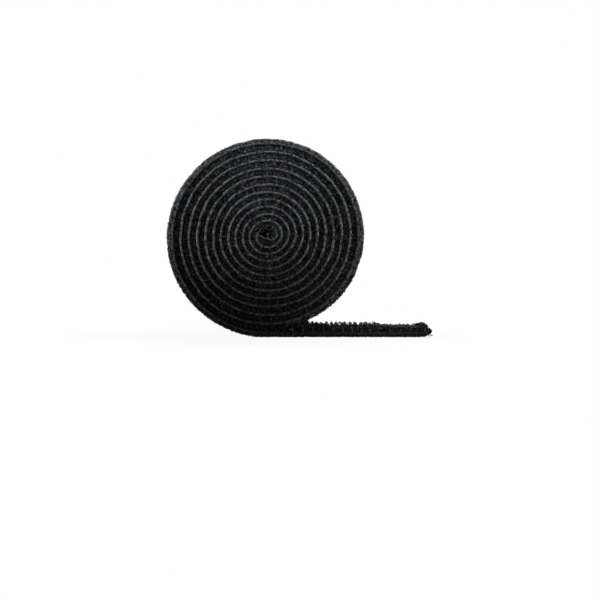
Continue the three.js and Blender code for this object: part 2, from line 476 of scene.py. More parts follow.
def nap_look(name, dark, light, slot="loop_pile"):
    """Brushed nylon loops: matt, cloudy, a little sheen where it is seen edge on"""
    look = Look(name, slot)
    cloud = look.noise(size=1.6).between(0.3, 0.7)
    grain = look.noise(size=0.3, detail=3.0).between(0.44, 0.68)
    look.finish(
        Base_Color=look.mixed(grain * (cloud * 0.5 + 0.5), grey(dark), grey(light)),
        Roughness=0.92,
        Specular_IOR_Level=0.03,
        Sheen_Weight=0.02,
        Sheen_Roughness=0.5,
    )
    look.bump(look.noise(size=0.2, detail=3.0), depth=0.16, strength=0.8)
    return look


# The bare selvedge, across the tape, and, along it, the stretch over which painted shade darkens its
# light thread towards the free end
SELVEDGE = (EDGE - 0.35, EDGE - 0.1)
SELVEDGE_SHADE_SPAN = (path.wound - 14, path.wound + 10)


def weave_look(name, slot, edge_dark, edge_light, face):
    """Woven nylon ground, lighter and glossier along its selvedges, with painted shade dimming them
    towards the free end
    """
    look = Look(name, slot)
    along, across, _ = look.split()
    warp = (across * (2 * math.pi / WARP_PITCH)).sine()
    weft = (along * (2 * math.pi / WEFT_PITCH)).sine()
    grain = look.noise(size=0.3, detail=3.0)
    bare = abs(across).between(*SELVEDGE)
    worn = look.noise(size=0.6, detail=3.0).between(0.36, 0.62)
    body = look.mixed(grain, grey(face / 3), grey(face))
    # Painted shade: the selvedges' light thread is darkened along the tape, from the end of the
    # winding out along the free end
    painted_shade = along.between(*SELVEDGE_SHADE_SPAN)
    thread = look.mixed(worn * (1 - painted_shade * 0.8), grey(edge_dark), grey(edge_light))
    look.finish(
        Base_Color=look.mixed(bare, body, thread),
        Roughness=0.9 - bare * (worn * 0.25 + 0.3),
        Specular_IOR_Level=0.06,
    )
    look.bump(warp * weft * 0.5 + grain, depth=0.06, strength=0.7)
    return look


def filament_look(name, dark, light, slot="hook_weave"):
    """Drawn nylon: smooth and slightly glossy, each strand a little different"""
    look = Look(name, slot)
    tone = look.noise(size=0.5).between(0.35, 0.65)
    look.finish(
        Base_Color=look.mixed(tone, grey(dark), grey(light)),
        Roughness=0.4,
        Specular_IOR_Level=0.05,
    )
    look.bump(look.noise(size=0.08), depth=0.01, strength=0.5)
    return look


def film_look():
    """Hot-melt film: dull brown-grey"""
    look = Look("bond_film", "bond_film")
    look.finish(
        Base_Color=look.mixed(look.noise(size=1.5), grey(0.012), grey(0.03)),
        Roughness=0.5,
        Specular_IOR_Level=0.3,
    )
    look.bump(look.noise(size=0.6), depth=0.02, strength=0.4)
    return look


# Each finish with its darkest and lightest grey
loop_nap = nap_look("loop_nap", 0.002, 0.016)
end_nap = nap_look("end_nap", 0.002, 0.02)
pressed_nap = nap_look("pressed_nap", 0.0012, 0.07)
loop_fibre = nap_look("loop_fibre", 0.012, 0.17)
nap_fibre = nap_look("nap_fibre", 0.003, 0.014)
# Painted light: the fibres at the pile's cut edges get far lighter greys than the nap they come
# from, for the light that falls on them
rim_nap_painted_light = nap_look("rim_nap_painted_light", 0.03, 0.34)
end_rim_nap_painted_light = nap_look("end_rim_nap_painted_light", 0.012, 0.15)
loop_weave = weave_look("loop_weave", "loop_pile", 0.014, 0.2, face=0.012)
hook_weave = weave_look("hook_weave", "hook_weave", 0.006, 0.1, face=0.07)
hook_filament = filament_look("hook_filament", 0.0015, 0.03)
tail_filament = filament_look("tail_filament", 0.003, 0.035)
# Painted highlight: the short legs beside the free end's hooks get a far lighter grey than the
# hooks, for the light streaks on them
stem_filament_painted_highlight = filament_look("stem_filament_painted_highlight", 0.01, 0.16)
# Painted light: the loose hooks of the edge rows get lighter greys than the other hooks, for the
# light that reaches them between the selvedges
edge_filament_painted_light = filament_look("edge_filament_painted_light", 0.006, 0.11)
band_nap = nap_look("band_nap", 0.01, 0.07)
tangle_nap = nap_look("tangle_nap", 0.006, 0.08, "hook_weave")
toe_nap = nap_look("toe_nap", 0.008, 0.1)
bore_nap = nap_look("bore_nap", 0.0005, 0.02, "hook_weave")
rim_filament = filament_look("rim_filament", 0.01, 0.17)
# Painted light: the single hooks in the bore get far lighter greys than the other hooks, for the
# light they catch
bore_filament_painted_light = filament_look("bore_filament_painted_light", 0.004, 0.16)
thread_filament = filament_look("thread_filament", 0.04, 0.1)
film = film_look()


# Ribbons: the two woven grounds and the film between them.
# A ground has its lowest and highest place, and the waves along its selvedges
LOOP_GROUND = (GROUND_BACK, GROUND_FACE, ((0.08, 1.5, 3), (0.07, 0.7, 4)))
HOOK_GROUND = (-GROUND_FACE, -GROUND_BACK, ((0.08, 1.5, 5), (0.07, 0.7, 6)))
SELVEDGE_POINTS = 6
GROUND_FLAT_POINTS = 3
GROUND_FLAT_REACH = EDGE - 1


def ribbon(name, look, ground, ends, body):
    """A thin woven band with round selvedges, slightly uneven along its edges"""
    low, high, waves = ground
    half, middle = (high - low) / 2, (low + high) / 2
    s = even_lengths(ends, GROUND_STEP)
    y, share = round_section(
        EDGE + SELVEDGE_BULGE,
        half + SELVEDGE_ROUND,
        SELVEDGE_POINTS,
        GROUND_FLAT_POINTS,
        GROUND_FLAT_REACH,
    )
    y = y + np.sign(y) * uneven(s[:, None], 0.0, *waves)
    height = np.broadcast_to(middle + half * share, y.shape)
    return sweep(name, s, y, height, look, body)


wound_loop_ground = ribbon("loop_ground", loop_weave, LOOP_GROUND, WOUND, "roll")
wound_hook_ground = ribbon("hook_ground", hook_weave, HOOK_GROUND, WOUND, "roll")
tail_loop_ground = ribbon("free_end_loop_ground", loop_weave, LOOP_GROUND, FREE, None)
tail_hook_ground = ribbon("free_end_hook_ground", hook_weave, HOOK_GROUND, FREE, None)


def film_band(name, ends, body):
    s = even_lengths(ends, FILM_STEP)
    edge = EDGE - FILM_MARGIN
    y = np.broadcast_to([-edge, edge, edge, -edge], (len(s), 4))
    height = np.broadcast_to([-FILM_FACE, -FILM_FACE, FILM_FACE, FILM_FACE], (len(s), 4))
    return sweep(name, s, y, height, film, body)


wound_film = film_band("film", WOUND, "roll")
tail_film = film_band("free_end_film", (JOIN, HOOK_CUT - FILM_END_GAP), None)


# Pile pressed between the turns: its share of the room, its root in the ground, its cut edges,
# and the places across where its face turns in to the core
OUTERMOST_TURN = LAST_TURN + 0.3
PILE_SHARE = 0.83
PILE_ROOT = 0.05
PRESSED_OVERRUN = 3
PRESSED_RINGS = 8
PRESSED_INSET = 0.45
PRESSED_ROUND = 0.32
PRESSED_WAVES = ((0.13, 1.6, 7), (0.12, 0.7, 6))
PRESSED_PITS = ((0.3, 0.7, 8), (0.25, 0.42, 9))
PRESSED_INWARD = (8.4, 7.4, 6.6)
CORE_GAP = 0.02
FREE_FROM = path.at_turn(FREE_PILE_TURN)


def room_outside(turn):
    """From the laminate's middle to that of the next turn"""
    return middle_radius(np.minimum(turn + 1, OUTERMOST_TURN)) - middle_radius(turn)


def pressed_pile():
    """Its cut edges are lumpy; further in, the hooks and loops are pressed into one core"""
    s = np.arange(INNER_START, FREE_FROM + PRESSED_OVERRUN, PRESSED_STEP)
    room = room_outside(path.turn_at(s))[:, None]
    rise = np.linspace(0, 1, PRESSED_RINGS) * np.pi / 2
    top = room * (PILE_SHARE + uneven(s[:, None], 0.0, *PRESSED_WAVES))
    height = GROUND_FACE - PILE_ROOT + (top - GROUND_FACE + PILE_ROOT) * np.sin(rise)
    pits = uneven(s[:, None], height, *PRESSED_PITS)
    y = EDGE - PRESSED_INSET + pits - PRESSED_ROUND * (1 - np.cos(rise))
    y = np.concatenate([y, *(np.full_like(room, place) for place in PRESSED_INWARD)], axis=1)
    height = np.concatenate([height, top, top, room - GROUND_FACE - CORE_GAP], axis=1)
    y = np.concatenate([-y, y[:, ::-1]], axis=1)
    height = np.concatenate([height, height[:, ::-1]], axis=1)
    sweep("pressed_pile", s, y, height, pressed_nap, "roll")


pressed_pile()

# The free pile: its depth round the last turn, and its rounded toe at the free end
PILE_SHARES = np.array([0, 0.05, 0.125, 0.25, 0.375, 0.5, 0.625, 0.75, 0.875, 0.95, 1])
PILE_TURNS = LAST_TURN - 1 + PILE_SHARES
PILE_DEPTHS = np.array([0.9, 1.2, 1.4, 1.16, 0.88, 1.02, 0.95, 1.15, 1.2, 1.0, 1.0])
DEPTH_BLEND_TURNS = np.linspace(-0.06, 0.06, 7)
TOE_LENGTH = 3.4
TOE_PROUD = 0.15
TOE_FROM = path.straight(LOOP_END - TOE_LENGTH)
TOE_TIP = path.straight(LOOP_END + TOE_PROUD)
TOE_RINGS = 26
TOE_RISE = 1.7
TOE_TOP = -1.7
TOE_BLUNT = 0.998
CURL_FROM = HOOK_CUT - 0.15
CURL_LENGTH = 0.35
PILE_BACK = 0.2
OUTER = (FREE_FROM, JOIN)
TAIL = (JOIN, TOE_TIP)

# Its section: points across its face, insets of its rounded edges and how far down each lies
FACE_POINTS = 51
FACE_INSET = 0.35
EDGE_INSETS = np.array([0.6, 0.12, 0, 0.05])
EDGE_SHARES = np.array([0.0, 0.12, 0.5, 0.85])
FACE_LUMPS = ((0.13, 1.1, 12), (0.08, 0.5, 13))
FACE_RIDGES = (0.13, 1.1, 11)
RIDGE_STRETCH = 0.15
EDGE_BULGES = ((0.08, 0.8, 14), (0.05, 0.35, 15))
BULGE_INSET = 0.3


def free_pile_depth(s):
    near = path.turn_at(s)[..., None] + DEPTH_BLEND_TURNS
    return np.interp(near, PILE_TURNS, PILE_DEPTHS).mean(axis=-1)


def toe_share(s):
    """0 before the toe and 1 at its tip"""
    return np.clip((s - TOE_FROM) / (TOE_TIP - TOE_FROM), 0, 1)


def under_pile(s):
    """Depth of the free pile's face, which rounds up at the toe"""
    round_up = 1 - np.sqrt(1 - TOE_BLUNT * toe_share(s) ** 2)
    return free_pile_depth(s) - TOE_RISE * round_up


def over_pile(s):
    """Top of the pile: under the ground, and beyond the cut curling up over it"""
    beyond = np.clip((s - CURL_FROM) / CURL_LENGTH, 0, 1)
    curl = PILE_BACK + (TOE_TOP - PILE_BACK) * beyond
    tip = under_pile(s)
    rounding = np.sqrt(1 - TOE_BLUNT * toe_share(s) ** 6)
    return tip + (curl - tip) * rounding


def nap_section(s):
    """Section of the free pile: rounded edges, a lumpy face, closed under the ground"""
    s = s[:, None]
    across = np.linspace(-1, 1, FACE_POINTS) * (EDGE - FACE_INSET)
    edge = EDGE - EDGE_INSETS
    y = np.concatenate([-edge, across, edge[::-1]])
    share = np.concatenate([EDGE_SHARES, np.ones(FACE_POINTS), EDGE_SHARES[::-1]])
    y = np.broadcast_to(y, (len(s), len(y)))
    lumpy = uneven(s, y, *FACE_LUMPS) + uneven(s, y * RIDGE_STRETCH, FACE_RIDGES)
    low, high = over_pile(s), under_pile(s)
    height = low + (high - low + lumpy * (1 - toe_share(s) ** 8)) * share
    bulge = uneven(s, 0.0, *EDGE_BULGES)
    y = y + np.sign(y) * (bulge * (np.abs(y) > EDGE - BULGE_INSET))
    return y, height


def free_pile(name, ends, look, body):
    s = even_lengths(ends, PILE_STEP)
    if ends[1] == TOE_TIP:
        s = np.unique(np.concatenate([s, np.linspace(TOE_FROM, TOE_TIP, TOE_RINGS)]))
    y, height = nap_section(s)
    sweep(name, s, y, height, look, body, flat_at=0.0)


free_pile("outer_pile", OUTER, loop_nap, "roll")
free_pile("free_end_pile", TAIL, end_nap, None)

# Loops and fibres of the pile. A pair holds the least and the most of what each strand draws
LOOP_REACH = 0.36
LOOP_STANDS = 0.26
LOOP_SIZE_SHARES = (0.6, 1.3)
LOOP_HEIGHT_SHARES = (0.4, 1.6)
LOOP_SUNK = 0.06
LOOP_LEAN = 0.12
LOOP_INSET = 0.1
LOOP_OVERHANG = 0.25
LOOP_RADIUS = 0.055
CURLS_FROM_TURN = 0.35
CURL_RADIUS = 0.072
CURL_RADIUS_SHARES = (0.6, 1.35)
CURL_SIZES = (0.14, 0.4)
CURL_CLEAR_SHARE = 0.8
CURL_STRETCHES = (0.8, 1.3)
CURL_ANGLES = (2.2, 5.5)
CURL_STARTS = (0, 6.3)
CURL_TILT = 0.5
CURL_INSETS = (0.15, 0.6)
CURL_OVERHANG = 0.1
FIBRE_RADIUS = 0.06
FIBRE_RADIUS_SHARES = (0.6, 1.4)
FIBRE_INSET = 0.12
FIBRE_SIZES = (0.12, 0.4)
FIBRE_REACHES = (0.1, 0.45)
FIBRE_ALONG, FIBRE_UP, FIBRE_BACK = 1.6, 1.3, 0.3
FIBRE_ARC_SHARE = 0.9


def nap_loops(name, ends, count, body, seed):
    """Loops of the nap, which stand out of the pile as small arches"""
    chance = Chance(seed, count)
    s0 = chance.even(*ends)
    y0 = chance.even(-EDGE + LOOP_INSET, EDGE - LOOP_INSET)
    heading = chance.even(0, 2 * np.pi)
    size = LOOP_REACH * chance.even(*LOOP_SIZE_SHARES)
    tall = LOOP_STANDS * chance.even(*LOOP_HEIGHT_SHARES)
    lean = chance.about(0, LOOP_LEAN)
    s = s0 + size * np.cos(heading) * SWING + lean * ARCH
    y = y0 + size * np.sin(heading) * SWING + lean[::-1] * ARCH
    y = np.clip(y, -EDGE - LOOP_OVERHANG, EDGE + LOOP_OVERHANG)
    height = under_pile(s) - LOOP_SUNK + tall * ARCH
    s = np.minimum(s, TOE_TIP + TOE_PROUD)
    radius = LOOP_RADIUS * chance.even(*LOOP_SIZE_SHARES)
    strands(name, s, y, height, radius, nap_fibre, body, low=STRAND_LOW)


nap_loops("outer_pile_loops", OUTER, count=7300, body="roll", seed=31)
nap_loops("free_end_pile_loops", TAIL, count=1700, body=None, seed=32)


def edge_curls(name, a_mm, side, seed):
    """Loops between the turns, seen from the side as small rings and hooks"""
    ends = (path.at_turn(CURLS_FROM_TURN), FREE_FROM)
    chance = Chance(seed, int((ends[1] - ends[0]) * a_mm))
    s0 = chance.even(*ends)
    room = room_outside(path.turn_at(s0))
    curl = chance.even(*CURL_SIZES)
    clear = curl * CURL_CLEAR_SHARE
    low, high = GROUND_FACE + clear, room - GROUND_FACE - clear
    h0 = low + (high - low) * chance.even(0, 1)
    swing = np.linspace(0, 1, 7) * chance.even(*CURL_ANGLES) + chance.even(*CURL_STARTS)
    s = s0 + curl * np.cos(swing) * chance.even(*CURL_STRETCHES)
    height = h0 + curl * np.sin(swing)
    tilt = chance.about(0, CURL_TILT) * curl
    y = EDGE - chance.even(*CURL_INSETS) + tilt * np.cos(swing + tilt)
    y = np.minimum(y, EDGE + CURL_OVERHANG)
    radius = CURL_RADIUS * chance.even(*CURL_RADIUS_SHARES)
    strands(name, s, side * y, height, radius, loop_fibre, "roll")


def edge_fibres(name, ends, a_mm, side, look, body, seed):
    """Fibres that curl out of the free pile's cut edges"""
    chance = Chance(seed, int((ends[1] - ends[0]) * a_mm))
    s0 = np.sort(chance.even(*ends), axis=0)
    h0 = GROUND_FACE + (free_pile_depth(s0) - GROUND_FACE) * chance.even(0, 1)
    reach = chance.even(*FIBRE_REACHES)
    heading = chance.even(0, 2 * np.pi)
    size = chance.even(*FIBRE_SIZES)
    swing = np.linspace(0, 1, 4)
    s = s0 + size * np.cos(heading) * (swing * FIBRE_ALONG - FIBRE_BACK)
    height = h0 + size * np.sin(heading) * (swing * FIBRE_UP - FIBRE_BACK)
    height = np.maximum(height, GROUND_FACE + FIBRE_INSET)
    out = EDGE - FIBRE_INSET + reach * np.sin(swing * np.pi * FIBRE_ARC_SHARE)
    radius = FIBRE_RADIUS * chance.even(*FIBRE_RADIUS_SHARES)
    strands(name, s, side * out, height, radius, look, body, low=STRAND_LOW)


# The near edge is on the side of -1 and the far edge on that of 1
NEAR, FAR = -1, 1
edge_curls("near_edge_curls", 4.4, NEAR, seed=41)
edge_curls("far_edge_curls", 2.6, FAR, seed=42)
# These rim fibres carry the painted light of their lighter nap greys
edge_fibres("near_rim_fibres", OUTER, 17, NEAR, rim_nap_painted_light, "roll", seed=43)
edge_fibres("far_rim_fibres", OUTER, 9, FAR, rim_nap_painted_light, "roll", seed=44)
edge_fibres("free_end_near_fibres", TAIL, 8, NEAR, end_rim_nap_painted_light, None, seed=45)
edge_fibres("free_end_far_fibres", TAIL, 7, FAR, end_rim_nap_painted_light, None, seed=46)


# Hooks: a stem that leans along the tape, crooks over sideways and ends in a point
CROWN = 1.44
HOOK_ALONG = np.array([0.0, 0.08, 0.4, 0.8, 1.0, 1.08, 1.05, 0.95])
HOOK_ACROSS = np.array([0.0, 0.0, 0.03, 0.1, 0.26, 0.46, 0.64, 0.7])
HOOK_UP = np.array([-0.1, 0.3, 0.72, 1.08, 1.36, CROWN, 1.28, 1.0]) / CROWN
HOOK_THICK = np.array([0.18, 0.17, 0.15, 0.14, 0.13, 0.12, 0.11, 0.07])
STUB_ACROSS = np.array([0.5, 0.56, 0.6, 0.63])
STUB_UP = np.array([-0.1, 0.35, 0.7, 1.05]) / CROWN
STUB_THICK = 0.1

# How hooks differ: strays of a column and along a row, the lean and twist of each half of a pair
COLUMN_STRAY = 0.08
ROW_STRAY = 0.05
PAIR_LEAN = 0.1
PAIR_TWIST = 0.6
TWIST_SPREAD = 0.2
TALLEST_SHARE = 1.08
HOOK_ROOM_SHARE = 0.92

# The free end's hooks: shares of their height, and the stretches of floor over which each eases
PULLED_SHARE, PULLED_ENDS = 0.3, (9.0, 13.5)
PRESSED_SHARE, PRESSED_BEGINS, PRESSED_ENDS = 0.31, (28.5, 31.5), (39.6, 40.6)
TUFT_SHARE, TUFT_BEGINS = 0.15, (40.0, 40.8)


def hook_columns(ends, last):
    """Lengths at which hooks stand, with the half of the pair that each belongs to"""
    first = path.straight(BEND_AT + PAIR_PITCH / 2)
    nearest, furthest = ((end - first) / PAIR_PITCH for end in ends)
    places = [
        (first + pair * PAIR_PITCH + half * PAIR_GAP / 2, half)
        for pair in range(math.floor(nearest), math.ceil(furthest) + 1)
        for half in (-1, 1)
    ]
    return np.array([place for place in places if ends[0] < place[0] < ends[1]] + list(last))


class HookRows:
    """Where the hooks of some rows stand, and how each leans, twists and grows"""

    def __init__(self, ends, rows, tall, seed, stray=0.06, lean=0.12, low=0.9, outward=0.0, last=()):
        columns = hook_columns(ends, last)
        row = np.tile(np.array(rows, float), len(columns))[:, None]
        draw = np.random.default_rng(seed)
        column_stray = draw.normal(0, COLUMN_STRAY, len(columns))
        s = np.repeat(columns[:, 0] + column_stray, len(rows))[:, None]
        self.half = np.repeat(columns[:, 1], len(rows))[:, None]
        self.s = s + draw.normal(0, stray, row.shape)
        y = (row - (ROWS - 1) / 2) * ROW_PITCH
        staggered = y + self.half * ROW_STAGGER
        self.y = staggered + draw.normal(0, ROW_STRAY, row.shape) + np.sign(y) * outward
        self.lean = lean * draw.normal(0, 1, row.shape) - self.half * PAIR_LEAN
        grown = draw.uniform(low, TALLEST_SHARE, row.shape)
        self.tall = tall(slanted(self.s, self.y)) * grown
        self.twist = self.half * PAIR_TWIST + draw.normal(0, TWIST_SPREAD, row.shape)

    def hooks(self, name, look, body, sides=4, skip=1):
        pick = np.unique(np.append(np.arange(0, len(HOOK_UP), skip), len(HOOK_UP) - 1))
        along, across, up = HOOK_ALONG[pick], HOOK_ACROSS[pick], HOOK_UP[pick]
        s = self.s + self.lean * along + self.twist * across
        y = self.y + self.half * across * np.cos(self.twist)
        height = -GROUND_FACE - self.tall * up
        strands(name, s, y, height, HOOK_THICK[pick], look, body, sides)

    def stubs(self, name, look, body):
        """The other leg of each cut loop, left standing short beside its hook"""
        s = self.s + self.twist * STUB_ACROSS - self.lean * STUB_UP
        y = self.y + self.half * STUB_ACROSS
        strands(name, s, y, -GROUND_FACE - self.tall * STUB_UP, STUB_THICK, look, body, sides=4)


def hook_room(s):
    """Height of the hooks in the winding: they reach through the pile to the turn inside"""
    turn = path.turn_at(s)
    room = middle_radius(turn) - middle_radius(turn - 1) - 2 * GROUND_FACE
    return np.minimum(HOOK_TALL, HOOK_ROOM_SHARE * room)


def tail_tall(s):
    """The free end's hooks: pulled up near the roll, then pressed flat, then standing at the cut"""
    x = s - path.wound
    pressed = PRESSED_SHARE * (smoothstep(*PRESSED_BEGINS, x) - smoothstep(*PRESSED_ENDS, x))
    pulled = PULLED_SHARE * (1 - smoothstep(*PULLED_ENDS, x))
    tuft = TUFT_SHARE * smoothstep(*TUFT_BEGINS, x)
    return TAIL_HOOK_TALL * (1 - pressed + pulled + tuft)


# Hooks stand singly from the second turn on. The edge rows are loose, and hooks crowd at the cut
HOOKED_FROM_TURN = 0.97
HOOKED = (path.at_turn(HOOKED_FROM_TURN), JOIN)
TAIL_HOOKED = (JOIN, HOOK_CUT - 0.2)
LOOSE = {"stray": 0.45, "lean": 0.5, "low": 0.55, "outward": 0.35}
CROWDED = [(HOOK_CUT - 0.7, -1), (HOOK_CUT - 0.35, 1)]
TAIL_GROWTH = {"lean": 0.2, "low": 0.92, "last": CROWDED}
# The edge rows' hooks are painted lighter for the light that reaches them
near_row = HookRows(HOOKED, [0], hook_room, seed=51, **LOOSE)
near_row.hooks("near_edge_hooks", edge_filament_painted_light, "roll")
far_row = HookRows(HOOKED, [ROWS - 1], hook_room, seed=52, **LOOSE)
far_row.hooks("far_edge_hooks", edge_filament_painted_light, "roll")
second_rows = HookRows(HOOKED, [1, ROWS - 2], hook_room, seed=53)
second_rows.hooks("second_row_hooks", hook_filament, "roll", sides=3, skip=2)
tail_rows = HookRows(TAIL_HOOKED, range(ROWS), tail_tall, seed=54, **TAIL_GROWTH)
tail_rows.hooks("free_end_hooks", tail_filament, None, sides=6)
# The stubs' light grey is a painted highlight
tail_rows.stubs("free_end_hook_stubs", stem_filament_painted_highlight, None)

# Lint between the free end's hooks, which fills more of their height where they are matted
LINT_INSET = 0.3
LINT_SIZES = (0.2, 0.6)
LINT_FILL_SHARE = 0.5
LINT_RISE = 0.25
LINT_CURL_SHARE = 0.4
LINT_ARCH = 0.15
MATTED_FILL_SHARE = 0.3
MATTED_BEGINS = (28.0, 31.0)


def lint():
    """Loops torn out of the pile, still tangled between the free end's hooks"""
    chance = Chance(seed=58, count=5000)
    s0 = chance.even(JOIN, HOOK_CUT - LINT_INSET)
    y0 = chance.even(-EDGE + LINT_INSET, EDGE - LINT_INSET)
    matted = smoothstep(*MATTED_BEGINS, s0 - path.wound)
    tall = tail_tall(slanted(s0, y0))
    filled = LINT_FILL_SHARE + MATTED_FILL_SHARE * matted
    h0 = -GROUND_FACE - tall * chance.even(0, 1) * filled
    turn = chance.even(0, 2 * np.pi)
    rise = chance.about(0, LINT_RISE)
    size = chance.even(*LINT_SIZES)
    s = s0 + size * (np.cos(turn) * SWING + LINT_CURL_SHARE * ARCH * np.sin(3 * turn))
    y = y0 + size * np.sin(turn) * SWING
    height = np.minimum(h0 + rise * SWING - LINT_ARCH * ARCH, -GROUND_FACE)
    strands("free_end_lint", s, y, height, FIBRE_RADIUS, tangle_nap, None)


# Loops round the toe. Those before the cut stand between the hooks
TOE_LOOPS_FROM = HOOK_CUT - 1.4
TOE_LOOP_INSET = 0.2
TOE_LOOP_SIZES = (0.15, 0.4)
TOE_LOOP_SLOPE = 0.5
TOE_LOOP_AHEAD = 0.1
TOE_LOOP_AHEAD_SHARES = (0.3, 1)
TOE_LOOP_OUT = 0.08
TOE_HOOK_SHARE = 0.85


def toe_fibres():
    """Loops that stick out all round the rounded toe, and between the last hooks"""
    chance = Chance(seed=48, count=1700)
    s0 = chance.even(TOE_LOOPS_FROM, TOE_TIP)
    y0 = chance.even(-EDGE + TOE_LOOP_INSET, EDGE - TOE_LOOP_INSET)
    low, high = over_pile(s0), under_pile(s0)
    share = chance.even(0, 1)
    between = -GROUND_FACE - TOE_HOOK_SHARE * tail_tall(slanted(s0, y0)) * share
    h0 = np.where(s0 < HOOK_CUT, between, low + (high - low) * share)
    turn = chance.even(0, 2 * np.pi)
    size = chance.even(*TOE_LOOP_SIZES)
    slope = size * np.cos(turn) * SWING * TOE_LOOP_SLOPE
    s = s0 + slope + TOE_LOOP_AHEAD * ARCH * chance.even(*TOE_LOOP_AHEAD_SHARES)
    s = np.minimum(s, TOE_TIP)
    y = y0 + size * np.sin(turn) * SWING
    height = h0 + TOE_LOOP_OUT * ARCH * np.sign(share - 0.5) + slope
    strands("toe_fibres", s, y, height, LOOP_RADIUS, toe_nap, None, low=STRAND_LOW)


# Loops drawn out between the free end and the outer pile above it, shorter further from the roll.
# Their pull has a middle and a spread
DRAWN_ENDS = (JOIN_AT + 0.2, 10.9)
DRAWN_INSET = 0.4
DRAWN_PILE_TURN = LAST_TURN - 0.95
DRAWN_PILE_DEPTH = 1.3
DRAWN_ROOT_SHARES = (0.3, 1.0)
DRAWN_REACH_SHARES = (0.2, 1)
DRAWN_SHORTER_FROM = 8
DRAWN_SHORTER_OVER = 1.2
DRAWN_SHORTER_POWERS = (0.3, 3)
DRAWN_SWAY = 0.25
DRAWN_PULL = (0.25, 0.3)


def drawn_loops():
    """Where the free end leaves the roll, hooks still hold loops of the pile and draw them out"""
    chance = Chance(seed=57, count=260)
    x = chance.even(*DRAWN_ENDS)
    y = chance.even(-EDGE + DRAWN_INSET, EDGE - DRAWN_INSET)
    roll_radius = middle_radius(DRAWN_PILE_TURN) + DRAWN_PILE_DEPTH
    roll = AXIS_HEIGHT - np.sqrt(roll_radius**2 - x * x)
    low = MIDDLE_HEIGHT + GROUND_FACE + HOOK_TALL * chance.even(*DRAWN_ROOT_SHARES)
    power = np.clip((x - DRAWN_SHORTER_FROM) / DRAWN_SHORTER_OVER, *DRAWN_SHORTER_POWERS)
    reach = chance.even(*DRAWN_REACH_SHARES) ** power
    roll = low + (roll - low) * reach
    share = np.linspace(0, 1, 5)
    sway = chance.about(0, DRAWN_SWAY) * np.sin(share * np.pi)
    pull = chance.about(*DRAWN_PULL)
    z = low + (roll - low) * share
    s = path.straight(x + sway - pull * share)
    strands("drawn_loops", s, y + sway, MIDDLE_HEIGHT - z, FIBRE_RADIUS, loop_fibre, "roll")


lint()
toe_fibres()
drawn_loops()


# Inner end: the first turn's hooks are matted into a smooth band that curls in to a rounded head
BAND_TURNS = np.array([-0.02, 0.1, 0.2, 0.28, 0.37, 0.5, 0.62, 0.75, 0.88, 1.0])
BAND_DEPTHS = np.array([1.35, 1.7, 1.95, 1.7, 1.15, 0.85, 0.95, 1.05, 0.7, 0.3])
BAND_SUNK = 0.03
BAND_INSET = 0.42
BAND_ROUND = 0.25
BAND_FLAT_REACH = EDGE - 0.9
BAND_ARC_POINTS = 7
BAND_FLAT_POINTS = 11
BAND_EDGE_WAVES = (0.05, 0.7, 81)
BAND_FACE_WAVES = (0.06, 0.8, 82)
HEAD_LENGTH = 0.8
HEAD_ANGLES = np.linspace(0.1, np.pi / 2, 8)


def band_depth(turn):
    return np.interp(turn, BAND_TURNS, BAND_DEPTHS)


def inner_band():
    head = INNER_START + HEAD_LENGTH * (1 - np.cos(HEAD_ANGLES))
    band_end = path.at_turn(BAND_TURNS[-1])
    rest = np.arange(INNER_START + HEAD_LENGTH + BAND_STEP, band_end, BAND_STEP)
    s = np.concatenate([head, rest])
    into = np.clip((s - INNER_START) / HEAD_LENGTH, 0, 1)
    swell = np.sqrt(1 - (1 - into) ** 2)
    low, high = -GROUND_FACE - band_depth(path.turn_at(s)), -GROUND_FACE + BAND_SUNK
    middle, half = (low + high) / 2, swell * (high - low) / 2
    y, share = round_section(
        EDGE - BAND_INSET,
        BAND_ROUND,
        BAND_ARC_POINTS,
        BAND_FLAT_POINTS,
        BAND_FLAT_REACH,
    )
    y = y + np.sign(y) * uneven(s[:, None], share * 2, BAND_EDGE_WAVES)
    height = middle[:, None] + half[:, None] * share
    height = height + uneven(s[:, None], y, BAND_FACE_WAVES) * (share < 0)
    sweep("inner_end_band", s, y, height, band_nap, "roll")


# Rims of the band, thicker at its head and where they swell most, halfway round the first turn
RIM_TO_TURN = 0.93
RIM_POINTS = 110
RIM_HEAD_POINTS = 16
RIM_INSET = 0.3
RIM_CLEAR = 0.1
RIM_RADIUS = 0.08
RIM_SWELLING = 0.1
RIM_SWELLING_TURN = 0.5
RIM_SWELLING_TURNS = 0.12
HEAD_SWELLING = 0.4
RIM_LIFT_WAVES = (0.05, 0.9, 83)
RIM_SIDE_WAVES = (0.06, 0.6, 84)
RIM_THICK_WAVES = (0.04, 0.45, 87)


